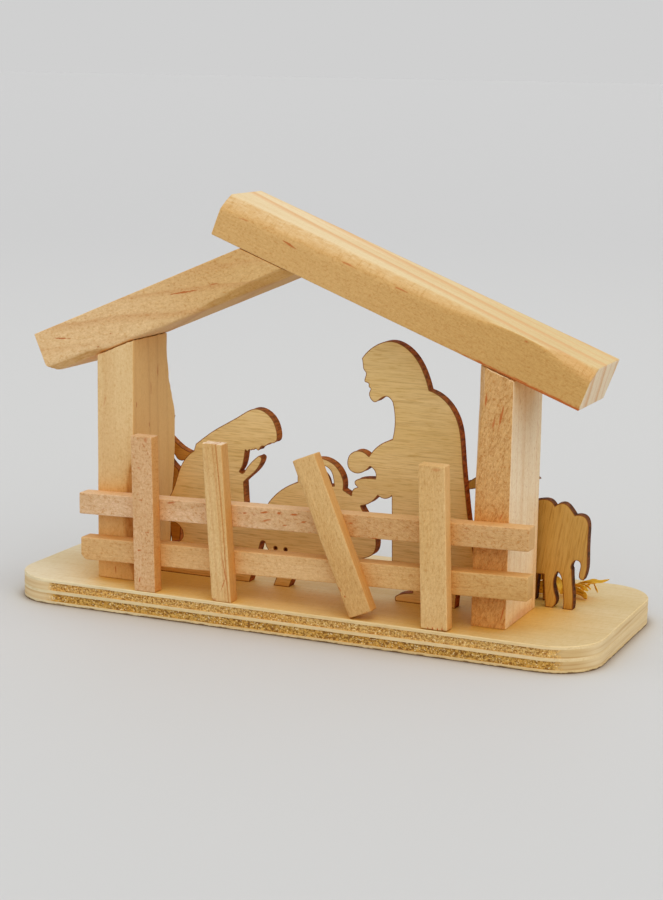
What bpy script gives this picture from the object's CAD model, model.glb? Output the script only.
import math

import bmesh
import bpy
import numpy as np
from mathutils import Matrix, Vector, geometry, noise


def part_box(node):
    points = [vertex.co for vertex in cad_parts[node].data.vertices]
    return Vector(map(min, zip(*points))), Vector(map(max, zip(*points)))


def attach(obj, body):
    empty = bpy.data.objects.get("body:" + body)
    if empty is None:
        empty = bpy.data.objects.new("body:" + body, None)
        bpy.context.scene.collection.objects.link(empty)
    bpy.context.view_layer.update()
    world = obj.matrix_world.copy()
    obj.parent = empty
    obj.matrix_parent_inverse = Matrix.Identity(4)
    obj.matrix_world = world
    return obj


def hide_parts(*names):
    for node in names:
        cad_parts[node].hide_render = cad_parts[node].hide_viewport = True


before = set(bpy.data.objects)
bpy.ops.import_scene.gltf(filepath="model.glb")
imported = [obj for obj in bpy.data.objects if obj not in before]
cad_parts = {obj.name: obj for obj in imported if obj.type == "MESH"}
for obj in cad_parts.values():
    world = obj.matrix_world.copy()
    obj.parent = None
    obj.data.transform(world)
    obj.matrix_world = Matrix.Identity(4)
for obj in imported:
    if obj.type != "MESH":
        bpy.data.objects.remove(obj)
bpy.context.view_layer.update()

# Shapes are worked out in millimetres and written to meshes in metres.
MM = 0.001

# The photograph's view, and its focal length for the 36 mm sensor
VIEW_AZIMUTH = 23.525
VIEW_ELEVATION = 10.883
VIEW_ROLL = -0.952
VIEW_EYE = (190.86, -439.52, 131.45)
SENSOR = 36.0
LENS = 80.04

# Slopes of the sticks, in degrees, as in the frame
LEFT_PITCH = 23.2
RIGHT_PITCH = 20.8
RAIL_SLOPE = 1.65
UPRIGHT = 90.0
LEVEL = 0.0

# Mesh spacing on the sticks, the plates and the base's plies
FIRST_STEP = 0.14
WIDEST_STEP = 1.1
STEP_GROWTH = 1.45
OUTLINE_STEP = 0.45
FILL_STEP = 1.3
END_GRAIN_STEP = 0.32
SANDED_STEP = 0.8

# Faces that meet at more than this angle, in degrees, keep a crease
CREASE = 36.0

# Points closer than this, in millimetres, count as touching
TOUCH = 1e-6

# How uneven a stick is: shares of an edge's, a wane's and a flat cut's depth, and the waves of its faces
EDGE_UNEVEN = 0.5
WANE_UNEVEN = 0.1
PLANE_UNEVEN = 0.08
SLOW_WAVE = (16, 5, 5)
QUICK_WAVE = (4.5, 1.6, 1.6)
QUICK_SHARE = 0.35

# A cut plate: its rims' drop and how close counts as on them, the row of points inside them, the least gap
# to the outline, the stray of inner points, the walls' rows and hollow, and the scorch's reach on the faces
RIM_DROP = 0.1
ON_RIM = 0.05
RIM_INSET = 0.3
LEAST_GAP = 0.26
FILL_STRAY = 0.3
WALL_ROWS = 7
WALL_HOLLOW = 0.06
SCORCH_REACH = 0.17

# The base: its corners, and how far from the left its edge is sanded smooth. The dips say how deep the edge
# lies: everywhere and its sway, the cross plies, their end grain at least and where rough, chips, and rims.
BASE_RADIUS = 12.0
SANDED_TO = -64.0
EDGE_DIP = 0.04
EDGE_SWAY = 0.03
CROSS_DIP = 0.03
END_GRAIN_DIP = 0.08
ROUGH_DIP = 0.2
CHIP_DIP = 0.35
OUTER_RIM_DIP = 0.16
CAP_RINGS = (0.985, 0.9, 0.7, 0.45, 0.2)

# Tones that several materials share, as they show on a screen
MARK_TONE = (184, 98, 38)
RIM_TONE = (138, 82, 30)
PANEL_WALL = ((118, 62, 18), (172, 98, 36))
ANIMAL_WALL = ((70, 40, 18), (116, 64, 28))

# How squarely a surface faces an axis where that side's tone starts and where it is full
FACE_SPAN = (0.6, 0.9)

# Openness where the shade of hollows starts and where it is full, and the shares of red, green and blue that
# stay where wood is hemmed in by other wood
HOLLOW_SPAN = (0.95, 0.3)
HOLLOW_TINT = (1.02, 0.76, 0.36)

# The slant of torn fibres, in degrees, and how deep a mark on a stick's face reaches
TEAR_SLANT = 22.0
MARK_REACH = 0.7

# Soft lamps: azimuth from the front towards the right, elevation, strength and spread in degrees
LAMPS = {"key": (58, 48, 1.7, 80), "fill": (-30, 42, 0.9, 100), "back": (180, 55, 0.5, 100)}
SKY_STRENGTH = 0.36
FLOOR_SIZE = 40.0


def tone(red, green, blue):
    """A colour written as it shows on a screen, from 0 to 255, as linear light with alpha."""
    def linear(value):
        share = value / 255
        return share / 12.92 if share <= 0.04045 else ((share + 0.055) / 1.055) ** 2.4
    return (linear(red), linear(green), linear(blue), 1.0)


def node_points(name):
    """The corners of a CAD node, in millimetres."""
    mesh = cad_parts[name].data
    points = np.empty(len(mesh.vertices) * 3)
    mesh.vertices.foreach_get("co", points)
    return points.reshape(-1, 3) / MM


def unit(vectors):
    """Rows scaled to a length of one."""
    return vectors / np.linalg.norm(vectors, axis=1)[:, None]


def soft_noise(points, periods, seed):
    """Smooth noise from about -1 to 1 at each point, with a period for each axis."""
    shift = np.array((17.31, 5.77, 11.13)) * seed
    places = np.asarray(points) / np.asarray(periods) + shift
    return np.array([noise.noise(place) for place in places.tolist()])


def share_noise(points, periods, seed):
    """Smooth noise from about 0 to 1."""
    return 0.5 + 0.5 * soft_noise(points, periods, seed)


def ring_faces(first, second, count):
    """Quads between two closed rings of points, given where each ring starts."""
    return [(first + place, first + (place + 1) % count, second + (place + 1) % count, second + place)
            for place in range(count)]


def add_piece(name, points, faces, material, node, layers):
    """A mesh piece that stands for a CAD node. Layers are named values kept at its points."""
    mesh = bpy.data.meshes.new(name)
    mesh.from_pydata((np.asarray(points) * MM).tolist(), [], faces)
    for layer, values in layers.items():
        values = np.asarray(values, np.float32)
        kind, key = ("FLOAT_VECTOR", "vector") if values.ndim == 2 else ("FLOAT", "value")
        mesh.attributes.new(layer, kind, "POINT").data.foreach_set(key, values.ravel())
    shell = bmesh.new()
    shell.from_mesh(mesh)
    bmesh.ops.recalc_face_normals(shell, faces=shell.faces)
    shell.to_mesh(mesh)
    shell.free()
    mesh.polygons.foreach_set("use_smooth", [True] * len(mesh.polygons))
    mesh.set_sharp_from_angle(angle=math.radians(CREASE))
    mesh.materials.append(material)
    piece = bpy.data.objects.new(name, mesh)
    bpy.context.scene.collection.objects.link(piece)
    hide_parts(node)
    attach(piece, "root")


class Nodes:
    """The node tree of a material or a world, and short ways to add to it."""

    def __init__(self, owner):
        owner.use_nodes = True
        self.tree = owner.node_tree

    def add(self, kind, output=0, settings=(), **inputs):
        """A node's output, with the node's inputs linked or set. An input is named with _ for a space, or
        with i and its number."""
        made = self.tree.nodes.new("ShaderNode" + kind)
        for key, value in dict(settings).items():
            setattr(made, key, value)
        for key, value in inputs.items():
            socket = made.inputs[int(key[1:]) if key[1:].isdigit() else key.replace("_", " ")]
            if isinstance(value, bpy.types.NodeSocket):
                self.tree.links.new(value, socket)
            else:
                socket.default_value = value
        return made.outputs[output]

    def math(self, operation, first, second=0.0):
        return self.add("Math", 0, {"operation": operation}, i0=first, i1=second)


class Shader(Nodes):
    """A procedural material, built step by step from a first tone. Its noise starts from the grain layer's
    places, moved by so many steps, so that each piece has its own stretch of it."""

    def __init__(self, name, roughness, specular, start, step=(0.0, 0.0, 0.0), seed=0):
        self.material = bpy.data.materials.new(name)
        super().__init__(self.material)
        self.surface = self.tree.nodes["Principled BSDF"]
        self.surface.inputs["Roughness"].default_value = roughness
        self.surface.inputs["Specular IOR Level"].default_value = specular
        self.colour = tone(*start)
        self.grain = self.layer("grain", "Vector")
        self.place = self.vector("ADD", self.grain, tuple(seed * part for part in step))

    def layer(self, name, output="Fac"):
        return self.add("Attribute", output, {"attribute_name": name})

    def vector(self, operation, first, second, output=0):
        return self.add("VectorMath", output, {"operation": operation}, i0=first, i1=second)

    def length(self, vector):
        return self.add("VectorMath", "Value", {"operation": "LENGTH"}, i0=vector)

    def part(self, vector, axis):
        return self.add("SeparateXYZ", axis, Vector=vector)

    def turned(self, degrees):
        return self.add("Mapping", 0, Vector=self.place, Rotation=(0.0, 0.0, math.radians(degrees)))

    def facing(self, axis):
        """How squarely the surface faces along an axis, either way, from 0 to 1."""
        return self.math("ABSOLUTE", self.part(self.add("NewGeometry", "Normal"), axis))

    def noise(self, scale, detail=3.0, rough=0.55, place=None):
        """Noise from 0 to 1 with so many waves a millimetre on each axis."""
        stretched = self.vector("MULTIPLY", place or self.place, scale)
        return self.add("TexNoise", 0, Vector=stretched, Scale=1.0, Detail=detail, Roughness=rough)

    def hairs(self, scale, half_width):
        """Thin wandering lines, from 0 to 1, where a stretched noise passes its middle value."""
        level = self.math("ABSOLUTE", self.math("SUBTRACT", self.noise(scale, 1.0), 0.5))
        return self.band(level, half_width, 0.0)

    def band(self, value, low, high, out_low=0.0, out_high=1.0):
        """A value carried smoothly from one range to another, and held at its ends."""
        return self.add("MapRange", 0, {"interpolation_type": "SMOOTHSTEP"}, Value=value, From_Min=low,
                        From_Max=high, To_Min=out_low, To_Max=out_high)

    def product(self, first, *others):
        for other in others:
            first = self.math("MULTIPLY", first, other)
        return first

    def cover(self, value, span, depth):
        """How far a value has come from one end of a span to the other, times a number or a socket."""
        if isinstance(depth, bpy.types.NodeSocket):
            return self.product(self.band(value, *span), depth)
        return self.band(value, *span, 0.0, depth)

    def blend(self, share, first, second, kind="MIX"):
        settings = {"data_type": "RGBA", "blend_type": kind}
        return self.add("Mix", 2, settings, i0=share, i6=first, i7=second)

    def mix(self, share, other, kind="MIX"):
        """Carries the colour to another as far as the share says."""
        self.colour = self.blend(share, self.colour, other, kind)

    def paint(self, value, span, other, depth=1.0):
        """Carries the colour to another tone as far as a value has come along a span."""
        self.mix(self.cover(value, span, depth), tone(*other))

    def shade(self, value, span, shares, depth=1.0):
        """Multiplies red, green and blue as far as a value has come along a span."""
        self.mix(self.cover(value, span, depth), (*shares, 1.0), "MULTIPLY")

    def hollows(self, reach, depth, shares=HOLLOW_TINT):
        """Deepens the colour warmly where other surfaces stand close to it."""
        openness = self.add("AmbientOcclusion", "AO", {"samples": 6}, Distance=reach * MM)
        self.shade(openness, HOLLOW_SPAN, shares, depth)

    def growth_lines(self, value, lines):
        """Late wood: each (place, width, depth), in millimetres, darkens slowly up to its place and ends
        sharply."""
        low = min(place - width for place, width, depth in lines) - 1
        high = max(place + width for place, width, depth in lines) + 1
        share = self.add("MapRange", 0, Value=value, From_Min=low, From_Max=high)
        ramp = self.add("ValToRGB", 0, i0=share)
        stops = ramp.node.color_ramp.elements
        stops[1].color = stops[0].color
        for place, width, depth in lines:
            for at, level in ((place - width, 0.0), (place, depth), (place + 0.35 * width, 0.0)):
                stops.new((at - low) / (high - low)).color = (level, level, level, 1.0)
        return ramp

    def marks(self, marks, ragged):
        """How far any mark covers a point. A mark is (centre, half sizes, turn in degrees, depth), in
        millimetres."""
        cover = None
        for centre, halves, turn, depth in marks:
            place = self.add("Mapping", 0, {"vector_type": "TEXTURE"}, Vector=self.grain, Location=centre,
                             Rotation=(0, 0, math.radians(turn)), Scale=halves)
            far = self.math("ADD", self.length(place), ragged)
            spot = self.product(self.band(far, 1.0, 0.5), depth)
            cover = spot if cover is None else self.math("MAXIMUM", cover, spot)
        return cover

    def finish(self, height, relief):
        """Joins the colour, and a bump of so many millimetres, to the surface."""
        bump = self.add("Bump", 0, Strength=1.0, Distance=relief * MM, Height=height)
        self.tree.links.new(self.colour, self.surface.inputs["Base Color"])
        self.tree.links.new(bump, self.surface.inputs["Normal"])
        return self.material


def front_marks(*marks, reach=MARK_REACH):
    """Marks on a stick's front, each (along, across, half length, half width, turn in degrees, depth)."""
    return [((along, across, 0.0), (half_length, half_width, reach), turn, depth)
            for along, across, half_length, half_width, turn, depth in marks]


def side_marks(*marks):
    """Marks on a stick's low side, each (along, deep, half length, half width, depth)."""
    return [((along, 0.0, deep), (half_length, MARK_REACH, half_width), 0, depth)
            for along, deep, half_length, half_width, depth in marks]


def pine(name, light, middle, seed, late=None, rings=None, lines=(), wander=0.8, faces=(), end=None,
         torn_tone=(196, 146, 80), speckle=0.5, fibre=0.5, saw=0.0, fleck=0.3, fleck_tone=(168, 100, 52),
         worn=0.5, fade=None, tear=0.0, marks=()):
    """Bare pine. Late is the tone of its growth lines, and rings the direction across them, in shares along,
    across and deep. Faces gives the sides that face along an axis a tone of their own, and a share of it.
    Fade gives the shares of red, green and blue that stay beyond a stretch of the stick, and its ends."""
    shader = Shader(name, 0.7, 0.25, light, (31.0, 7.0, 13.0), seed)
    cloud = shader.noise((0.02, 0.11, 0.11), 2.0)
    fibres = shader.noise((0.09, 2.0, 2.0), 4.0, 0.6)
    fine = shader.noise((0.5, 4.0, 4.0), 2.0, 0.6)
    speck = shader.noise((1.5, 1.7, 1.7), 3.0, 0.75)
    front = shader.facing("Y")

    shader.paint(cloud, (0.35, 0.65), middle)
    for axis, (face_tone, share) in dict(faces).items():
        shader.paint(shader.facing(axis), FACE_SPAN, face_tone, share)
    if fade:
        shares, *stretch = fade
        shader.shade(shader.part(shader.grain, "X"), stretch, shares)
    if end:
        shader.mix(shader.product(shader.layer("end"), 0.75), tone(*end))
    if lines:
        drift = shader.band(shader.noise((0.016, 0.07, 0.07), 2.0), 0.2, 0.8, -wander, wander)
        across = shader.math("ADD", shader.vector("DOT_PRODUCT", shader.grain, rings, "Value"), drift)
        shader.mix(shader.growth_lines(across, lines), tone(*late))

    torn = shader.layer("torn")
    ragged = shader.noise((0.5, 1.6, 1.6), 4.0, 0.7)
    shader.mix(shader.product(torn, shader.band(ragged, 0.35, 0.65, 0.45, 0.85)), tone(*torn_tone))
    ticks = shader.noise((1.7, 0.25, 0.25), 2.0)
    shader.shade(ticks, (0.56, 0.68), (0.86, 0.78, 0.62), shader.product(torn, 0.6))

    shader.shade(fibres, (0.5, 0.75), (0.88, 0.81, 0.68), fibre)
    shader.shade(fibres, (0.5, 0.25), (1.05, 1.06, 1.08), fibre)
    shader.shade(fine, (0.5, 0.7), (0.88, 0.80, 0.68), fibre)
    speck_depth = shader.band(front, *FACE_SPAN, 0.4 * speckle, speckle)
    shader.shade(speck, (0.52, 0.67), (0.84, 0.65, 0.44), speck_depth)
    shader.shade(speck, (0.48, 0.33), (1.12, 1.16, 1.26), speck_depth)
    if saw:
        shader.shade(shader.noise((2.6, 0.6, 0.6), 2.0, 0.6), (0.53, 0.68), (0.84, 0.72, 0.58), saw)
    shader.paint(shader.noise((0.9, 2.3, 2.3), 2.0, 0.5), (0.64, 0.72), fleck_tone, fleck)
    if tear:
        shred = shader.noise((0.6, 2.2, 2.2), 4.0, 0.75, shader.turned(TEAR_SLANT))
        tear_depth = shader.band(front, *FACE_SPAN, 0.0, tear)
        shader.shade(shred, (0.50, 0.66), (0.78, 0.64, 0.46), tear_depth)
        shader.shade(shred, (0.48, 0.34), (1.12, 1.13, 1.12), tear_depth)
    if marks:
        shader.mix(shader.marks(marks, shader.band(fine, 0.3, 0.7, -0.15, 0.35)), tone(*MARK_TONE))
    shader.mix(shader.product(shader.layer("worn"), worn), (1.06, 1.08, 1.12, 1.0), "MULTIPLY")
    shader.hollows(14.0, 0.9)

    height = shader.math("ADD", shader.product(fibres, 0.6), shader.product(speck, speck_depth))
    height = shader.math("ADD", height, shader.product(torn, ragged))
    return shader.finish(height, 0.16)


def spaced(length):
    """Places along an edge: close together at its two ends and wider apart between them."""
    places = [0.0]
    step = FIRST_STEP
    while places[-1] < length / 2:
        places.append(places[-1] + step)
        step = min(step * STEP_GROWTH, WIDEST_STEP)
    half = np.array(places) * (length / 2 / places[-1])
    return np.concatenate([half, length - half[-2::-1]])


def stick_frame(node, slope, cuts):
    """A stick's origin, its directions along, across and deep, its sizes, and its two cut lines."""
    points = node_points(node)
    along = np.array((math.cos(math.radians(slope)), 0.0, math.sin(math.radians(slope))))
    axes = np.array((along, (-along[2], 0.0, along[0]), (0.0, 1.0, 0.0)))
    lows = np.array([(points @ axis).min() for axis in axes])
    highs = np.array([(points @ axis).max() for axis in axes])
    origin = lows @ axes
    ends = []
    for cut, way in zip(cuts, (-1, 1)):
        normal = np.array((-math.sin(math.radians(cut)), 0.0, math.cos(math.radians(cut))))
        normal *= way * np.sign(normal @ along)
        reach = ((points - origin) @ normal).max()
        ends.append((reach, normal @ along, normal @ axes[1]))
    return origin, axes, highs - lows, ends


def ring_places(widths, depths):
    """The grid places round the edge of a section, in order, as pairs of indices."""
    last_width, last_depth = len(widths) - 1, len(depths) - 1
    ring = [(i, 0) for i in range(last_width + 1)]
    ring += [(last_width, j) for j in range(1, last_depth + 1)]
    ring += [(i, last_depth) for i in range(last_width - 1, -1, -1)]
    ring += [(0, j) for j in range(last_depth - 1, 0, -1)]
    return ring


def cut_corner(section, sizes, corner, width, flat):
    """Moves a section's points off one corner: onto an arc, or as far as flat says onto a flat where the cut
    is wide."""
    signs = np.where(np.array(corner) == 0, 1.0, -1.0)
    gaps = (section - np.array(corner) * sizes) * signs
    flatness = flat * np.clip((width - 0.7) / 0.8, 0, 1)
    for side in (0, 1):
        other = 1 - side
        near = (gaps[:, other] < TOUCH) & (gaps[:, side] < width)
        share = gaps[near, side] / width
        turn = (1 - share) * math.pi / 4
        arc = np.stack((width * (1 - np.sin(turn)), width * (1 - np.cos(turn))), -1)
        chord = np.stack((width * (1 + share) / 2, width * (1 - share) / 2), -1)
        moved = arc * (1 - flatness) + chord * flatness
        gaps[near, side] = moved[:, 0]
        gaps[near, other] = moved[:, 1]
    return np.array(corner) * sizes + gaps * signs


CORNERS = {"front_low": (0, 0), "front_high": (1, 0), "back_high": (1, 1), "back_low": (0, 1)}


def stick(node, slope, material, cuts=None, wanes=(), flat=1.0, planes=(), wave=0.03, edge=0.2,
          fray=(0.05, 0.05), seed=1):
    """A stick of sawn wood: rounded and waney edges, uneven faces and ragged ends.
    Wanes give an edge's cut as (along, width) stations. Planes are flat cuts: a point and a normal in
    the stick's own directions, along, across from its low side, and deep from its front."""
    cuts = cuts or (slope + UPRIGHT, slope + UPRIGHT)
    origin, axes, sizes, ends = stick_frame(node, slope, cuts)
    stations, widths, depths = (spaced(size) for size in sizes)
    ring = ring_places(widths, depths)
    flat_ring = np.array([(widths[i], depths[j]) for i, j in ring])
    inward = unit((flat_ring < TOUCH).astype(float) - (flat_ring > sizes[1:] - TOUCH))
    wane_stations = dict(wanes)
    edge_noise = {name: soft_noise([(s, 0, 0) for s in stations], (5.0, 1, 1), seed + 3 + number)
                  for number, name in enumerate(CORNERS)}

    def end_along(section, end):
        reach, slant, lean = ends[end]
        flat_section = np.column_stack((np.zeros(len(section)), section))
        jag = fray[end] * share_noise(flat_section, (1, 0.8, 0.8), seed + 20 + end)
        return (reach - lean * section[:, 0]) / slant - np.sign(slant) * jag

    rows, torn_rows, worn_rows = [], [], []
    for number, station in enumerate(stations):
        section = flat_ring.copy()
        torn = np.zeros(len(section))
        worn = np.zeros(len(section))
        for name, corner in CORNERS.items():
            uneven = edge_noise[name][number]
            width = edge * (1 + EDGE_UNEVEN * uneven)
            if name in wane_stations:
                cut = np.interp(station, *zip(*wane_stations[name]))
                width = max(width, cut * (1 + WANE_UNEVEN * uneven))
            before = section.copy()
            section = cut_corner(section, sizes[1:], corner, width, flat)
            moved = np.linalg.norm(section - before, axis=1)
            torn = np.maximum(torn, np.clip(moved * 3, 0, 1) * np.clip((width - 0.8) / 0.6, 0, 1))
            worn = np.maximum(worn, np.clip(moved / 0.05, 0, 1))
        gap = min(station, sizes[0] - station)
        inset = edge - math.sqrt(max(edge ** 2 - max(edge - gap, 0) ** 2, 0))
        middle = sizes[1:] / 2
        section = middle + (section - middle) * (1 - 2 * inset / sizes[1:])
        start, finish = end_along(section, 0), end_along(section, 1)
        points = np.column_stack((start + (finish - start) * station / sizes[0], section))
        dip = wave * share_noise(points, SLOW_WAVE, seed)
        dip += wave * QUICK_SHARE * share_noise(points, QUICK_WAVE, seed + 1)
        points[:, 1:] += inward * dip[:, None]
        rows.append(points)
        torn_rows.append(torn)
        worn_rows.append(worn)

    count, last_row = len(ring), len(stations) - 1
    faces = []
    for row in range(last_row):
        faces += ring_faces(row * count, (row + 1) * count, count)
    caps = []
    total = len(rows) * count
    on_rim = tuple(np.array(ring).T)
    up = (widths / sizes[1])[:, None, None]
    inner = (depths / sizes[2])[None, :, None]
    for end in (0, 1):
        rim = np.zeros((len(widths), len(depths), 2))
        rim[on_rim] = rows[-end][:, 1:]
        across = (1 - inner) * rim[:, :1] + inner * rim[:, -1:]
        grid = across + (1 - up) * rim[:1] + up * rim[-1:] - (1 - up) * across[:1] - up * across[-1:]
        inside = grid[1:-1, 1:-1].reshape(-1, 2)
        caps.append(np.column_stack((end_along(inside, end), inside)))
        index = np.zeros(rim.shape[:2], int)
        index[on_rim] = end * last_row * count + np.arange(count)
        index[1:-1, 1:-1] = total + np.arange(len(inside)).reshape(len(widths) - 2, len(depths) - 2)
        total += len(inside)
        quads = np.stack((index[:-1, :-1], index[1:, :-1], index[1:, 1:], index[:-1, 1:]), -1)
        faces += quads.reshape(-1, 4).tolist()
    points = np.concatenate([*rows, *caps])
    cap_zeros = np.zeros(total - len(rows) * count)
    torn = np.concatenate([*torn_rows, cap_zeros])
    worn = np.concatenate([*worn_rows, cap_zeros])
    at_end = np.ones(total)
    at_end[count:last_row * count] = 0

    for place, normal in planes:
        normal = np.array(normal) / np.linalg.norm(normal)
        over = np.maximum((points - np.array(place)) @ normal, 0)
        over *= 1 + PLANE_UNEVEN * soft_noise(points, (2, 2, 2), seed + 9)
        points = points - over[:, None] * normal
        torn = np.maximum(torn, np.clip(over * 3, 0, 1))
    layers = {"grain": points, "torn": torn, "worn": worn, "end": at_end}
    add_piece(node + "_wood", origin + points @ axes, faces, material, node, layers)


def plate_loops(node):
    """The outline and holes of an upright plate's front, each a loop of (x, z) points."""
    shell = bmesh.new()
    shell.from_mesh(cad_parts[node].data)
    bmesh.ops.remove_doubles(shell, verts=shell.verts, dist=0.00001)
    front = {face for face in shell.faces if face.normal.y < -0.99}
    follows = {}
    for face in front:
        for loop in face.loops:
            if not any(other in front for other in loop.edge.link_faces if other is not face):
                follows[loop.vert.index] = loop.link_loop_next.vert.index
    shell.verts.ensure_lookup_table()
    loops = []
    while follows:
        start, here = follows.popitem()
        chain = [start]
        while here != start:
            chain.append(here)
            here = follows.pop(here)
        loops.append(np.array([(shell.verts[i].co.x, shell.verts[i].co.z) for i in chain]) / MM)
    shell.free()
    return sorted(loops, key=len, reverse=True)


def even_loop(loop):
    """A loop with points added along its long straight runs."""
    points = []
    for here, after in zip(loop, np.roll(loop, -1, axis=0)):
        steps = max(1, math.ceil(np.linalg.norm(after - here) / OUTLINE_STEP))
        points += [here + (after - here) * step / steps for step in range(steps)]
    return np.array(points)


def loop_normals(loop):
    """Unit normals to one side of a loop, all into the wood or all out of it."""
    ahead = unit(np.roll(loop, -1, axis=0) - np.roll(loop, 1, axis=0))
    return np.column_stack((-ahead[:, 1], ahead[:, 0]))


def inside_loops(points, loops):
    """Which points lie in the wood: inside an odd number of loops."""
    crossings = np.zeros(len(points), int)
    for loop in loops:
        for (x0, z0), (x1, z1) in zip(loop, np.roll(loop, -1, axis=0)):
            if z0 != z1:
                spans = (points[:, 1] < z0) != (points[:, 1] < z1)
                crossings += spans & (points[:, 0] < x0 + (points[:, 1] - z0) * (x1 - x0) / (z1 - z0))
    return crossings % 2 == 1


def gaps_to(outline, points):
    """How far each point is from the nearest point of an outline."""
    return np.array([np.linalg.norm(outline - point, axis=1).min() for point in points])


def plate(node, material, seed):
    """A plate cut by laser: a dense front and back, softened rims and scorched walls."""
    box = node_points(node)
    front, back = box[:, 1].min(), box[:, 1].max()
    loops = [even_loop(loop) for loop in plate_loops(node)]
    normals = [loop_normals(loop) for loop in loops]
    probe = np.concatenate([loop + normal * ON_RIM for loop, normal in zip(loops, normals)])
    if inside_loops(probe, loops).mean() < 0.5:
        normals = [-normal for normal in normals]
    outline = np.concatenate(loops)
    faces_in = np.concatenate(normals)

    (left, low), (right, high) = outline.min(0), outline.max(0)
    grid = np.meshgrid(np.arange(left, right, FILL_STEP), np.arange(low, high, FILL_STEP))
    grid = np.stack(grid, -1).reshape(-1, 2)
    flat_grid = np.column_stack((grid, np.zeros(len(grid))))
    stray = np.column_stack([soft_noise(flat_grid, (0.37, 0.41, 1), seed + n) for n in (4, 5)])
    inner = np.concatenate([outline + faces_in * RIM_INSET, grid + stray * FILL_STRAY])
    inner = inner[inside_loops(inner, loops) & (gaps_to(outline, inner) > LEAST_GAP)]

    edges = []
    for loop in loops:
        start, size = len(edges), len(loop)
        edges += [(start + number, start + (number + 1) % size) for number in range(size)]
    corners = [Vector(point) for point in np.concatenate([outline, inner])]
    made = geometry.delaunay_2d_cdt(corners, edges, [], 0, TOUCH)
    places = np.array([tuple(place) for place in made[0]])
    triangles = np.array([tuple(face) for face in made[2]])
    triangles = triangles[inside_loops(places[triangles].mean(1), loops)]
    home = {given: place for place, all_given in enumerate(made[3]) for given in all_given}
    rim_places = np.array([home[number] for number in range(len(outline))])

    count, rim_count = len(places), len(outline)
    gaps = gaps_to(outline, places)
    drop = np.where(gaps < ON_RIM, RIM_DROP, 0.0)
    points = [np.column_stack((places[:, 0], depth, places[:, 1])) for depth in (front + drop, back - drop)]
    scorch = [np.exp(-gaps / SCORCH_REACH)] * 2
    for depth in np.linspace(front, back, WALL_ROWS + 2)[1:-1]:
        ring = outline + faces_in * WALL_HOLLOW * math.sin(math.pi * (depth - front) / (back - front))
        points.append(np.column_stack((ring[:, 0], np.full(rim_count, depth), ring[:, 1])))
        scorch.append(np.ones(rim_count))
    faces = triangles.tolist() + (triangles[:, ::-1] + count).tolist()
    walls = [2 * count + row * rim_count + np.arange(rim_count) for row in range(WALL_ROWS)]
    rows = [rim_places, *walls, rim_places + count]
    here, after = np.array(edges).T
    for upper, lower in zip(rows, rows[1:]):
        faces += np.column_stack((upper[here], upper[after], lower[after], lower[here])).tolist()
    points = np.concatenate(points)
    grain = points[:, (0, 2, 1)] - np.array((0.0, 0.0, front))
    layers = {"grain": grain, "scorch": np.concatenate(scorch)}
    add_piece(node + "_cut", points, faces, material, node, layers)


def cut_plywood(name, light, middle, dark, walls, turn, seed, shade=HOLLOW_TINT):
    """Thin plywood cut by laser: fine grain on the faces, brown burnt walls and smoke at the rims. Walls are
    the dark and light tones of the burn, turn the grain's direction in degrees from level, and shade what
    stays in the hollows."""
    shader = Shader(name, 0.75, 0.12, light, (23.0, 9.0, 0.0), seed)
    burnt = shader.noise((1.2, 1.2, 0.3), 3.0, 0.6)
    smoke = shader.band(shader.noise((0.5, 0.5, 0.3), 3.0, 0.6), 0.2, 0.6, 0.8, 1.1)
    shader.place = shader.turned(-turn)
    fibre = shader.noise((0.05, 1.6, 0.4), 4.0, 0.68)
    fine = shader.noise((0.22, 2.8, 0.4), 3.0, 0.65)
    breaks = shader.band(shader.noise((0.12, 1.4, 0.4), 2.0), 0.38, 0.60)
    shader.paint(shader.noise((0.02, 0.10, 0.4), 2.0), (0.3, 0.7), middle)
    shader.shade(fibre, (0.45, 0.75), (0.92, 0.87, 0.77), 0.5)
    shader.shade(fibre, (0.45, 0.25), (1.05, 1.06, 1.08), 0.5)
    for length, width, depth in ((0.02, 1.6, 0.28), (0.04, 2.8, 0.45)):
        hair = shader.hairs((length, width, 0.4), 0.05)
        shader.mix(shader.product(hair, breaks, depth), tone(*dark))
    shader.shade(fine, (0.5, 0.66), (0.86, 0.79, 0.64))
    shader.shade(fine, (0.5, 0.36), (1.03, 1.03, 1.04))

    scorch = shader.layer("scorch")
    wall = shader.math("GREATER_THAN", scorch, 0.995)
    wall_tone = shader.blend(shader.band(burnt, 0.35, 0.65), tone(*walls[0]), tone(*walls[1]))
    burn_tone = shader.blend(wall, tone(*RIM_TONE), wall_tone)
    shader.mix(shader.band(shader.product(scorch, smoke), 0.2, 0.75), burn_tone)
    shader.hollows(14.0, 0.9, shade)
    height = shader.math("ADD", shader.product(fibre, 0.5), shader.product(burnt, scorch))
    return shader.finish(height, 0.1)


def rounded_outline(length, width, radius, step):
    """A rounded rectangle about the origin, with even steps, and which way each point faces."""
    points, facing = [], []
    corners = ((1, -1, -90, width), (1, 1, 0, length), (-1, 1, 90, width), (-1, -1, 180, length))
    for right, far, turn, side in corners:
        middle = np.array((right * (length / 2 - radius), far * (width / 2 - radius)))
        run = side - 2 * radius
        arc_steps = max(8, round(radius * math.pi / 2 / step))
        run_steps = max(4, round(run / step))
        for number in range(arc_steps + run_steps):
            angle = math.radians(turn + 90 * min(number, arc_steps) / arc_steps)
            normal = np.array((math.cos(angle), math.sin(angle)))
            ahead = np.array((-normal[1], normal[0])) * run * max(number - arc_steps, 0) / run_steps
            facing.append(normal)
            points.append(middle + radius * normal + ahead)
    return np.array(points), np.array(facing)


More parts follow.
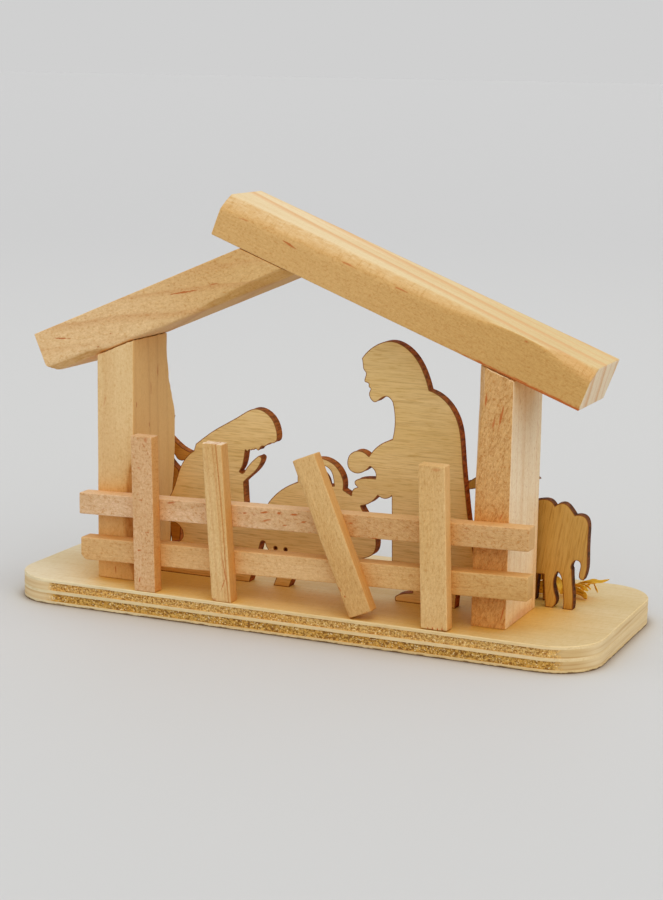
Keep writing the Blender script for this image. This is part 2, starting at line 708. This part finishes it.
def ply(node, material, cross, seed):
    """One ply of the base: ragged where its end grain shows on the long sides, sanded elsewhere."""
    lows, highs = (np.array(corner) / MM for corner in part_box(node))
    length, width = (highs - lows)[:2]
    outline, facing = rounded_outline(length, width, BASE_RADIUS, END_GRAIN_STEP if cross else SANDED_STEP)
    count = len(outline)
    end_grain = np.zeros(count)
    if cross:
        flat_outline = np.column_stack((outline, np.zeros(count)))
        uneven = soft_noise(flat_outline, (2.0, 2.0, 1.0), seed + 4)
        end_grain = np.clip((np.abs(facing[:, 1]) + 0.03 * uneven - 0.86) / 0.13, 0, 1)
        end_grain *= np.clip((outline[:, 0] - SANDED_TO + 1.5 * uneven) / 3.0, 0, 1)
    heights = np.linspace(lows[2], highs[2], 9 if cross else 5)
    last_row = len(heights) - 1
    outer_row = {"base_top_veneer": last_row, "base_bottom_veneer": 0}.get(node)
    points = []
    for row, height in enumerate(heights):
        ring = np.column_stack((outline, np.full(count, height)))
        dip = EDGE_DIP + EDGE_SWAY * soft_noise(ring, (9, 9, 0.8), seed)
        if cross:
            rough = share_noise(ring, (0.5, 0.5, 0.42), seed + 1)
            rough += share_noise(ring, (1.3, 1.3, 0.9), seed + 2)
            dip += end_grain * (END_GRAIN_DIP + ROUGH_DIP * rough) + CROSS_DIP
        else:
            dip += CHIP_DIP * np.clip(soft_noise(ring, (2.2, 2.2, 1.2), seed + 3) - 0.4, 0, 1)
        if row == outer_row:
            dip += OUTER_RIM_DIP
        ring[:, :2] -= facing * dip[:, None]
        points.append(ring)
    faces = []
    for row in range(last_row):
        faces += ring_faces(row * count, (row + 1) * count, count)
    total = len(heights) * count
    for face_row in (0, last_row):
        before = face_row * count
        for shrink in CAP_RINGS:
            ring = points[face_row].copy()
            spine = np.clip(ring[:, 0], -(length - width) / 2, (length - width) / 2)
            ring[:, 0] = spine + (ring[:, 0] - spine) * shrink
            ring[:, 1] *= shrink
            points.append(ring)
            faces += ring_faces(before, total, count)
            before = total
            total += count
        faces.append(tuple(range(before, before + count)))
    world = np.concatenate(points)
    rough = np.zeros(total)
    rough[:len(heights) * count] = np.tile(end_grain, len(heights))
    add_piece(node + "_sheet", world, faces, material, node, {"grain": world, "rough": rough})


def veneer(name, seed):
    """The base's thin plies: pale sanded wood with the grain lengthwise, and a brown line along the foot."""
    shader = Shader(name, 0.62, 0.3, (226, 205, 164), (19.0, 3.0, 0.0), seed)
    fibre = shader.noise((0.05, 1.3, 1.3), 4.0, 0.6)
    fine = shader.noise((0.4, 5.0, 3.0), 2.0, 0.6)
    dapple = shader.noise((1.5, 0.4, 0.6), 3.0, 0.6)
    ragged = shader.noise((0.5, 0.5, 2.0), 3.0, 0.7)
    level = shader.facing("Z")
    face = shader.band(level, *FACE_SPAN)
    along = shader.part(shader.grain, "X")
    foot = shader.math("ADD", shader.part(shader.grain, "Z"), shader.band(ragged, 0.3, 0.7, -0.15, 0.2))
    shader.paint(shader.noise((0.012, 0.05, 0.5), 2.0), (0.3, 0.7), (218, 194, 146))
    shader.shade(fibre, (0.48, 0.7), (0.93, 0.88, 0.78), 0.8)
    shader.shade(fine, (0.5, 0.7), (0.92, 0.88, 0.80), 0.8)
    shader.shade(fine, (0.5, 0.3), (1.04, 1.05, 1.08), 0.8)
    shader.paint(shader.noise((0.3, 2.6, 2.6), 2.0, 0.5), (0.66, 0.76), (188, 148, 96), 0.45)
    shader.shade(dapple, (0.5, 0.66), (0.975, 0.95, 0.90), face)
    shader.shade(dapple, (0.5, 0.34), (1.01, 1.015, 1.03), face)
    shader.shade(along, (0.0, -55.0), (0.99, 1.08, 1.24))
    shader.shade(along, (0.0, 55.0), (0.88, 0.87, 0.80), face)
    shader.shade(level, FACE_SPAN[::-1], (1.0, 0.96, 0.87))
    shader.paint(foot, (0.45, 0.15), (104, 68, 28), 0.9)
    shader.hollows(24.0, face, (1.09, 0.77, 0.22))
    return shader.finish(fibre, 0.05)


def cross_grain(name, light, dark, seed):
    """The base's thick plies: speckled end grain on the long sides, layered grain where they are sanded."""
    shader = Shader(name, 0.8, 0.05, dark, (29.0, 5.0, 11.0), seed)
    speck = shader.noise((1.5, 1.5, 1.8), 4.0, 0.8)
    grit = shader.noise((2.1, 2.1, 2.5), 2.0, 0.6)
    shader.paint(speck, (0.38, 0.58), light)
    shader.shade(shader.noise((0.16, 0.16, 0.5), 2.0), (0.4, 0.65), (1.0, 0.90, 0.74))
    shader.paint(grit, (0.58, 0.68), (244, 222, 170), 0.9)
    shader.paint(grit, (0.38, 0.28), (108, 62, 14), 0.9)
    rough_colour = shader.colour

    shader.colour = tone(222, 198, 154)
    shader.paint(shader.noise((0.03, 0.03, 1.3), 3.0, 0.6), (0.42, 0.70), (200, 164, 114))
    corner = shader.band(shader.part(shader.grain, "X"), 50.0, 60.0)
    shader.shade(shader.facing("Y"), (0.3, 0.8), (0.84, 0.76, 0.62), corner)
    rough = shader.layer("rough")
    ragged = shader.math("ADD", rough, shader.band(speck, 0.3, 0.7, -0.3, 0.3))
    shader.mix(shader.product(shader.band(ragged, 0.1, 0.9), shader.band(rough, 0.0, 0.3)), rough_colour)
    height = shader.product(shader.math("ADD", speck, shader.product(grit, 0.5)), rough)
    return shader.finish(height, 0.22)


def raffia(name):
    """Dry raffia: golden, with pale and dark fibres along it."""
    shader = Shader(name, 0.55, 0.35, (254, 216, 84))
    fibre = shader.noise((0.12, 6.0, 6.0), 3.0, 0.6)
    shader.paint(shader.noise((0.5, 0.6, 0.6), 2.0), (0.3, 0.7), (236, 186, 46))
    shader.paint(fibre, (0.5, 0.75), (172, 118, 26), 0.6)
    shader.hollows(5.0, 0.8, (0.9, 0.68, 0.26))
    return shader.finish(fibre, 0.08)


# Each strand's ribbons: a half width, a turn in degrees, and a route in millimetres above the base's top
RIBBONS = (
    ((0.42, 60, ((54.5, 14.5, 0.5), (59.1, 13.6, 3.5), (61.7, 13.2, 4.2), (63.1, 13.0, 4.9),
                 (64.7, 13.3, 4.4), (66.7, 13.7, 5.3))),
     (0.32, 20, ((56.5, 14.2, 0.4), (59.6, 13.4, 3.0), (62.2, 13.0, 3.9), (64.0, 13.2, 4.3))),
     (0.34, 70, ((57.5, 13.8, 2.2), (60.2, 13.0, 3.7), (61.8, 12.8, 3.3), (62.6, 12.6, 2.5)))),
    ((0.42, 30, ((57.9, 15.6, 0.5), (61.1, 14.6, 3.1), (62.5, 14.2, 4.3), (63.2, 14.2, 2.9),
                 (63.9, 14.1, 1.6))),
     (0.3, 80, ((59.0, 15.0, 0.4), (60.6, 14.6, 2.6), (62.0, 14.3, 3.6)))),
    ((0.95, 80, ((57.5, 12.0, 2.6), (59.6, 11.7, 2.5), (60.9, 11.6, 1.6), (62.0, 11.4, 0.9))),
     (0.75, 60, ((57.7, 12.6, 1.4), (59.8, 12.2, 1.3), (61.2, 11.8, 0.8), (62.0, 11.6, 0.5))),
     (0.5, 75, ((57.6, 12.4, 3.3), (59.6, 12.2, 3.4), (61.2, 12.0, 2.9), (62.1, 11.9, 2.3)))),
    ((0.95, 80, ((47.5, 12.8, 2.6), (49.1, 12.1, 4.2), (51.0, 12.0, 4.8), (52.6, 12.2, 5.0))),
     (1.0, 85, ((48.0, 12.6, 1.0), (49.6, 12.4, 2.2), (51.8, 12.2, 2.8))),
     (0.85, 80, ((47.9, 12.9, 0.9), (50.0, 12.7, 1.0), (52.6, 12.5, 0.9))),
     (0.75, 85, ((53.2, 12.4, 4.6), (54.3, 12.4, 4.2), (55.1, 12.5, 2.5), (55.3, 12.8, 0.5))),
     (0.55, 70, ((53.6, 12.8, 2.6), (54.6, 12.7, 2.0), (56.4, 12.6, 0.6))),
     (0.85, 80, ((53.2, 13.0, 1.2), (54.6, 12.9, 3.2), (56.2, 12.8, 3.8)))),
    ((0.5, 40, ((52.5, 16.6, 0.5), (55.9, 15.8, 1.7), (58.9, 16.8, 0.6))),),
    ((0.45, 30, ((49.5, 17.6, 0.5), (53.1, 18.3, 1.5), (56.3, 17.5, 2.1), (58.7, 18.3, 0.6))),),
)

# A ribbon's creased section, in shares of its half width and half thickness
RIBBON_SECTION = ((-1, 0.6), (-0.5, 1.0), (0, 0.55), (0.5, 1.0), (1, 0.6), (1, -0.6), (0.5, -0.3), (0, -1),
                  (-0.5, -0.3), (-1, -0.6))
RIBBON_HALF_THICKNESS = 0.07
BASE_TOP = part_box("base_top_veneer")[1].z / MM
STRAW_LIFT = 0.01


def route_points(route):
    """Points along the smooth line that a route's points steer."""
    curve = bpy.data.curves.new("route", "CURVE")
    curve.dimensions = "3D"
    curve.resolution_u = 10
    spline = curve.splines.new("NURBS")
    spline.points.add(len(route) - 1)
    for point, place in zip(spline.points, route):
        point.co = (*place, 1.0)
    spline.order_u = 3
    spline.use_endpoint_u = True
    holder = bpy.data.objects.new("route", curve)
    mesh = bpy.data.meshes.new_from_object(holder)
    points = np.array([tuple(vertex.co) for vertex in mesh.vertices])
    bpy.data.objects.remove(holder)
    bpy.data.curves.remove(curve)
    bpy.data.meshes.remove(mesh)
    return points


def ribbon(half_width, turn, route, seed):
    """The points, faces and grain of a creased ribbon that twists about its turn along its route."""
    line = route_points(route)
    line[:, 2] += BASE_TOP
    ahead = unit(np.gradient(line, axis=0))
    run = np.concatenate([[0], np.cumsum(np.linalg.norm(np.diff(line, axis=0), axis=1))])
    side = unit(np.cross(ahead, (0.0, 0.0, 1.0)))
    up = np.cross(side, ahead)
    points, grain = [], []
    for i, middle in enumerate(line):
        twist = math.radians(turn) + 0.45 * math.sin(run[i] * 0.7 + seed)
        taper = min(1.0, 0.35 + 0.8 * min(run[i], run[-1] - run[i]))
        across = side[i] * math.cos(twist) + up[i] * math.sin(twist)
        thick = up[i] * math.cos(twist) - side[i] * math.sin(twist)
        for wide, high in RIBBON_SECTION:
            width, height = wide * half_width, high * RIBBON_HALF_THICKNESS
            place = middle + across * width * taper + thick * height
            place[2] = max(place[2], BASE_TOP + STRAW_LIFT)
            points.append(place)
            grain.append((run[i] + seed * 40, width, height))
    size = len(RIBBON_SECTION)
    last = (len(line) - 1) * size
    faces = [tuple(range(size)), tuple(range(last, last + size))]
    for start in range(0, last, size):
        faces += ring_faces(start, start + size, size)
    return points, faces, grain


def strand(node, ribbons, material, seed):
    """A raffia strand, made of a few ribbons."""
    points, faces, grain = [], [], []
    for number, shape in enumerate(ribbons):
        more_points, more_faces, more_grain = ribbon(*shape, seed + number * 7)
        faces += [tuple(index + len(points) for index in face) for face in more_faces]
        points += more_points
        grain += more_grain
    add_piece(node + "_raffia", points, faces, material, node, {"grain": grain})


def build_base():
    for seed, node in enumerate(("base_top_veneer", "base_core_ply", "base_bottom_veneer"), 1):
        ply(node, veneer(node, seed), False, seed)
    for node, light, dark, seed in (("base_upper_cross_ply", (226, 186, 112), (150, 96, 34), 5),
                                    ("base_lower_cross_ply", (216, 172, 90), (122, 74, 16), 6)):
        ply(node, cross_grain(node, light, dark, seed), True, seed)


def build_roof():
    wood = pine(
        "right_rafter", (228, 207, 166), (222, 197, 152), 1, late=(214, 158, 100), rings=(0.147, 0.5, 1.0),
        lines=((20.0, 3.0, 0.75), (23.9, 1.0, 0.25), (27.5, 3.0, 0.7), (32.0, 1.2, 0.4), (36.9, 2.0, 0.6)),
        faces={"Y": ((211, 166, 100), 0.9)}, end=(240, 222, 196), torn_tone=(202, 158, 96), speckle=0.6,
        fibre=0.35, fleck=0.05, fade=((0.88, 0.83, 0.68), 5, 90), tear=0.25, marks=[
            *front_marks(
                (6.8, 6.6, 1.6, 0.3, 5, 0.5), (19.4, 5.9, 2.4, 0.34, -7, 0.9), (25.3, 8.1, 0.5, 0.3, 0, 0.9),
                (34.5, 7.6, 3.0, 0.34, -1, 0.7), (48.6, 7.6, 2.0, 0.34, 0, 0.7),
                (1.2, 7.4, 0.6, 0.34, 0, 0.9), (90.0, 0.2, 34.0, 0.7, 0, 1.0)),
            ((80.0, 9.2, 0.4), (0.8, 0.40, 0.9), 0, 0.7), ((48.5, 10.0, 19.4), (50.0, 0.6, 0.5), 0, 0.45)])
    stick("right_rafter", -RIGHT_PITCH, wood, flat=0.78, seed=2, wanes={
        "front_high": ((0, 3.5), (20, 3.0), (45, 2.3), (62, 1.9), (70, 1.2), (77, 0.3), (81, 0.4),
                       (96, 3.0))})
    wood = pine(
        "left_rafter", (232, 200, 151), (226, 190, 139), 2, late=(202, 148, 92), rings=(0.24, 1.0, 0.3),
        lines=((6.5, 1.4, 0.25), (11.5, 1.6, 0.5), (16.3, 1.2, 0.5), (21.0, 1.5, 0.3)),
        torn_tone=(200, 152, 82), speckle=0.7, fibre=0.35, fleck=0.15, fleck_tone=(190, 128, 72),
        fade=((0.84, 0.74, 0.55), 12, 62), tear=0.4, marks=front_marks(
            (7.0, 6.9, 3.2, 0.26, -20, 0.9), (43.0, 5.9, 5.6, 0.28, -12, 0.9),
            (51.5, 4.9, 1.6, 0.25, -11, 0.7), (16.0, 1.6, 0.5, 0.3, 0, 0.7), (20.5, 3.4, 0.4, 0.3, 0, 0.7)))
    stick("left_rafter", LEFT_PITCH, wood, cuts=(LEFT_PITCH + UPRIGHT, -RIGHT_PITCH), fray=(0.05, 0.35),
          planes=(((0, 2.2, 0), (-1, -1, 0)),), seed=3,
          wanes={"front_low": ((0, 1.8), (12, 1.8), (19, 0.9), (44, 0.8), (50, 1.5), (74, 2.8))})


def build_posts():
    wood = pine(
        "left_post", (225, 192, 139), (219, 184, 129), 3, late=(196, 140, 80), rings=(0.03, 0.2, 1.0),
        lines=((3.0, 1.0, 0.2), (9.6, 1.2, 0.3), (13.8, 1.2, 0.3), (18.5, 1.2, 0.2)),
        faces={"X": ((226, 181, 114), 0.85)}, torn_tone=(186, 130, 60), fibre=0.45, fleck=0.1, marks=[
            *front_marks((2.3, 5.0, 1.7, 0.25, 5, 0.8), (44.0, 7.9, 1.9, 0.25, -14, 0.35)),
            *side_marks((50.6, 12.5, 2.3, 0.35, 0.7), (43.6, 1.8, 1.0, 0.3, 0.8), (37.8, 8.2, 1.0, 0.3, 0.6),
                        (46.7, 9.0, 2.6, 0.3, 0.6))])
    stick("left_post", UPRIGHT, wood, cuts=(LEVEL, LEFT_PITCH), fray=(0.05, 0.4), seed=4, wanes={
        "back_low": ((0, 3.2), (30, 0.3), (39, 0.3), (43, 1.5), (48, 3.0), (53, 4.0), (60, 4.4)),
        "front_low": ((0, 0.6), (6, 1.6), (12, 2.4), (23, 2.6), (28, 1.5), (33, 0.3))})
    wood = pine(
        "right_post", (239, 218, 184), (233, 208, 170), 4, late=(218, 176, 128), rings=(0.02, 0.1, 1.0),
        lines=((5.3, 0.9, 0.4), (10.2, 2.4, 0.4), (14.0, 0.8, 0.25), (19.5, 1.0, 0.4)),
        faces={"Y": ((206, 159, 97), 0.95)}, speckle=1.0, fleck=0.35, tear=1.0, marks=[
            *front_marks(
                (52.2, 6.4, 2.1, 0.36, -8, 0.9), (48.7, 2.7, 3.7, 0.36, -12, 0.9),
                (47.2, 4.4, 1.6, 0.36, -13, 0.8), (26.0, 2.0, 1.1, 0.3, -25, 0.7),
                (3.7, 0.9, 2.8, 0.3, -13, 0.8)),
            *side_marks((51.8, 5.2, 1.0, 0.25, 0.5), (39.7, 7.5, 1.2, 0.25, 0.4),
                        (43.3, 19.4, 1.8, 0.25, 0.35)),
            ((0.4, 0.0, 11.0), (2.6, 0.9, 13.0), 0, 0.36)])
    stick("right_post", UPRIGHT, wood, cuts=(LEVEL, -RIGHT_PITCH), fray=(0.05, 0.5), seed=5, wanes={
        "front_high": ((24, 0.3), (40, 0.9), (60, 1.8))})


def build_rails():
    wood = pine(
        "upper_rail", (222, 186, 146), (211, 173, 129), 5, speckle=1.0, fibre=0.3, fleck=0.4,
        fleck_tone=(170, 98, 60), faces={"Z": ((230, 196, 156), 0.7)}, fade=((0.86, 0.76, 0.54), 40, 92),
        tear=0.45, marks=front_marks(
            (50.3, 4.1, 1.4, 0.34, 11, 1.0), (54.1, 4.2, 0.9, 0.34, 4, 1.0), (57.9, 4.1, 1.3, 0.34, 5, 1.0),
            (51.0, 2.3, 1.6, 0.3, 15, 0.8), (25.6, 4.6, 1.6, 0.34, 10, 0.8), (69.6, 0.1, 1.3, 0.3, 0, 0.9),
            (78.2, 0.1, 1.1, 0.3, 0, 0.9), (45.2, 3.6, 0.9, 0.3, 8, 0.9), (60.4, 2.6, 0.9, 0.3, 6, 0.9),
            (63.4, 4.4, 1.0, 0.3, 5, 0.8), (55.6, 1.4, 0.8, 0.3, 10, 0.8), (72.4, 3.3, 0.8, 0.3, 7, 0.8),
            reach=0.9))
    stick("upper_rail", RAIL_SLOPE, wood, cuts=(UPRIGHT, UPRIGHT), edge=0.28, seed=6)
    wood = pine(
        "lower_rail", (220, 182, 130), (210, 168, 112), 6, speckle=0.7, fibre=0.6, fleck=0.25,
        fleck_tone=(176, 124, 72), faces={"Z": ((224, 186, 136), 0.5)}, fade=((0.87, 0.80, 0.62), 55, 95),
        tear=0.3)
    stick("lower_rail", RAIL_SLOPE, wood, cuts=(UPRIGHT, UPRIGHT), edge=0.28, seed=7,
          planes=(((0, 1.4, 0), (-1, -1, 0)),))


def build_pickets():
    wood = pine(
        "left_picket", (217, 177, 132), (208, 165, 116), 7, speckle=1.0, fibre=0.3, saw=0.6, fleck=0.35,
        fleck_tone=(172, 92, 44), faces={"X": ((212, 156, 86), 0.85)}, marks=front_marks(
            (3.0, 4.1, 1.2, 0.28, -10, 0.9), (37.2, 1.6, 0.8, 0.5, 10, 0.6), (35.9, 2.2, 0.9, 0.25, 20, 0.6),
            (30.4, 3.7, 0.25, 0.6, 0, 0.7), (22.6, 3.4, 0.25, 0.6, 0, 0.7), (14.8, 1.7, 0.25, 0.6, 0, 0.7),
            (10.2, 4.0, 0.3, 0.8, 0, 0.9)))
    stick("left_picket", UPRIGHT + 1.5, wood, cuts=(LEVEL, LEVEL), wave=0.08, edge=0.22, fray=(0.06, 0.12),
          seed=8)
    wood = pine(
        "middle_picket", (219, 184, 129), (211, 170, 109), 8, late=(188, 118, 50), rings=(-0.024, 1.0, 0.0),
        lines=((0.7, 0.4, 0.95), (1.6, 0.6, 0.4), (3.4, 0.6, 0.25)), wander=0.3,
        faces={"X": ((206, 152, 82), 0.8)}, end=(240, 220, 196), fibre=0.8, fleck=0.1, tear=0.3,
        marks=front_marks((8.0, 1.2, 5.0, 0.2, 7, 0.8), (4.6, 1.7, 2.4, 0.18, -24, 0.8),
                          (0.6, 4.4, 0.7, 0.8, 0, 0.5)))
    stick("middle_picket", UPRIGHT + 4.3, wood, cuts=(LEVEL, LEVEL), fray=(0.1, 0.3), seed=9,
          planes=(((0.0, 3.8, 0.0), (-1.0, 0.9, -0.6)),))
    wood = pine(
        "right_picket", (220, 184, 128), (212, 172, 112), 9, speckle=0.6, fibre=0.7, worn=0.9, fleck=0.15,
        tear=0.45, marks=front_marks(
            (37.2, 2.0, 0.5, 1.5, 0, 0.4), (0.4, 1.2, 0.9, 0.28, 0, 1.0), (0.4, 2.3, 0.7, 0.25, 0, 1.0),
            (0.4, 3.5, 1.0, 0.25, 0, 1.0), (0.4, 4.6, 0.7, 0.28, 0, 1.0)))
    stick("right_picket", UPRIGHT + 2.5, wood, cuts=(LEVEL, LEVEL), edge=0.22, fray=(0.45, 0.1), seed=10)
    wood = pine(
        "leaning_picket", (214, 175, 116), (203, 159, 98), 10, fibre=0.8, worn=0.8,
        fleck_tone=(232, 204, 152), faces={"X": ((208, 154, 84), 0.7)}, tear=0.6,
        marks=front_marks((5.2, 5.0, 0.35, 0.3, 0, 0.9), (7.2, 5.6, 0.9, 0.3, 20, 0.7)))
    stick("leaning_picket", UPRIGHT + 22.8, wood, edge=0.22, fray=(0.15, 0.15), seed=11, wanes={
        "front_high": ((0, 0.9), (20, 0.7), (38, 1.0))})


def build_figures():
    panel = ((230, 198, 138), (221, 187, 122), (182, 144, 82), PANEL_WALL, LEVEL, 1, (1.12, 0.82, 0.33))
    sheep = ((206, 164, 92), (196, 152, 78), (160, 114, 54), ANIMAL_WALL, UPRIGHT - 8, 2, (0.9, 0.72, 0.3))
    ox = ((210, 164, 90), (200, 150, 74), (168, 116, 48), PANEL_WALL, LEVEL, 3)
    donkey = ((208, 164, 92), (198, 152, 78), (150, 104, 46), ANIMAL_WALL, UPRIGHT, 4)
    nodes = ("family_panel", "sheep_figure", "ox_figure", "donkey_figure")
    for node, wood, seed in zip(nodes, (panel, sheep, ox, donkey), (31, 33, 35, 37)):
        plate(node, cut_plywood(node, *wood), seed)


def build_straw():
    material = raffia("raffia")
    for number, ribbons in enumerate(RIBBONS, 1):
        strand(f"straw_strand_{number}", ribbons, material, number)


def build_floor():
    """A plain pale floor out to the horizon, warmer close to the wood."""
    bpy.ops.mesh.primitive_plane_add(size=FLOOR_SIZE, location=(0, 0, 0))
    floor = bpy.context.object
    floor.name = "floor"
    shader = Shader("floor", 0.6, 0.15, (203, 203, 202))
    shader.paint(shader.length(shader.add("NewGeometry", "Position")), (0.15, 1.2), (196, 196, 196))
    shader.hollows(20.0, 0.9, (0.84, 0.72, 0.56))
    shader.hollows(3.0, 0.9, (0.5, 0.38, 0.27))
    shader.tree.links.new(shader.colour, shader.surface.inputs["Base Color"])
    floor.data.materials.append(shader.material)


def build_light():
    """A plain backdrop, a white sky, and soft lamps at the right, at the left and behind."""
    world = bpy.data.worlds.new("studio")
    bpy.context.scene.world = world
    sky = Nodes(world)
    white = sky.tree.nodes["Background"]
    white.inputs["Color"].default_value = (1.0, 1.0, 1.0, 1.0)
    white.inputs["Strength"].default_value = SKY_STRENGTH
    backdrop = sky.add("Background", 0, Color=tone(208, 208, 208))
    rays = ("Is Camera Ray", "Is Glossy Ray", "Is Transmission Ray")
    camera, glossy, through = (sky.add("LightPath", ray) for ray in rays)
    seen = sky.math("MAXIMUM", sky.math("MAXIMUM", camera, glossy), through)
    shown = sky.add("MixShader", 0, i0=seen, i1=white.outputs[0], i2=backdrop)
    sky.tree.links.new(shown, sky.tree.nodes["World Output"].inputs["Surface"])

    for name, (azimuth, elevation, strength, spread) in LAMPS.items():
        lamp = bpy.data.lights.new(name, "SUN")
        lamp.energy = strength
        lamp.angle = math.radians(spread)
        holder = bpy.data.objects.new(name, lamp)
        turn, rise = math.radians(azimuth), math.radians(elevation)
        toward = Vector((math.sin(turn) * math.cos(rise), -math.cos(turn) * math.cos(rise), math.sin(rise)))
        holder.rotation_euler = toward.to_track_quat("Z", "Y").to_euler()
        bpy.context.scene.collection.objects.link(holder)


def build_camera():
    """The camera at the photograph's place, turned by its azimuth, elevation and roll."""
    lens = bpy.data.cameras.new("camera")
    lens.lens = LENS
    lens.sensor_width = SENSOR
    lens.sensor_fit = "AUTO"
    lens.clip_start = 0.01
    lens.clip_end = 100.0
    camera = bpy.data.objects.new("camera", lens)
    turned = Matrix.Translation(Vector(VIEW_EYE) * MM)
    for angle, axis in ((VIEW_AZIMUTH, "Z"), (90.0 - VIEW_ELEVATION, "X"), (-VIEW_ROLL, "Z")):
        turned = turned @ Matrix.Rotation(math.radians(angle), 4, axis)
    camera.matrix_world = turned
    bpy.context.scene.collection.objects.link(camera)
    bpy.context.scene.camera = camera


build_base()
build_roof()
build_posts()
build_rails()
build_pickets()
build_figures()
build_straw()
build_floor()
build_light()
build_camera()
bpy.context.scene.view_settings.view_transform = "Standard"
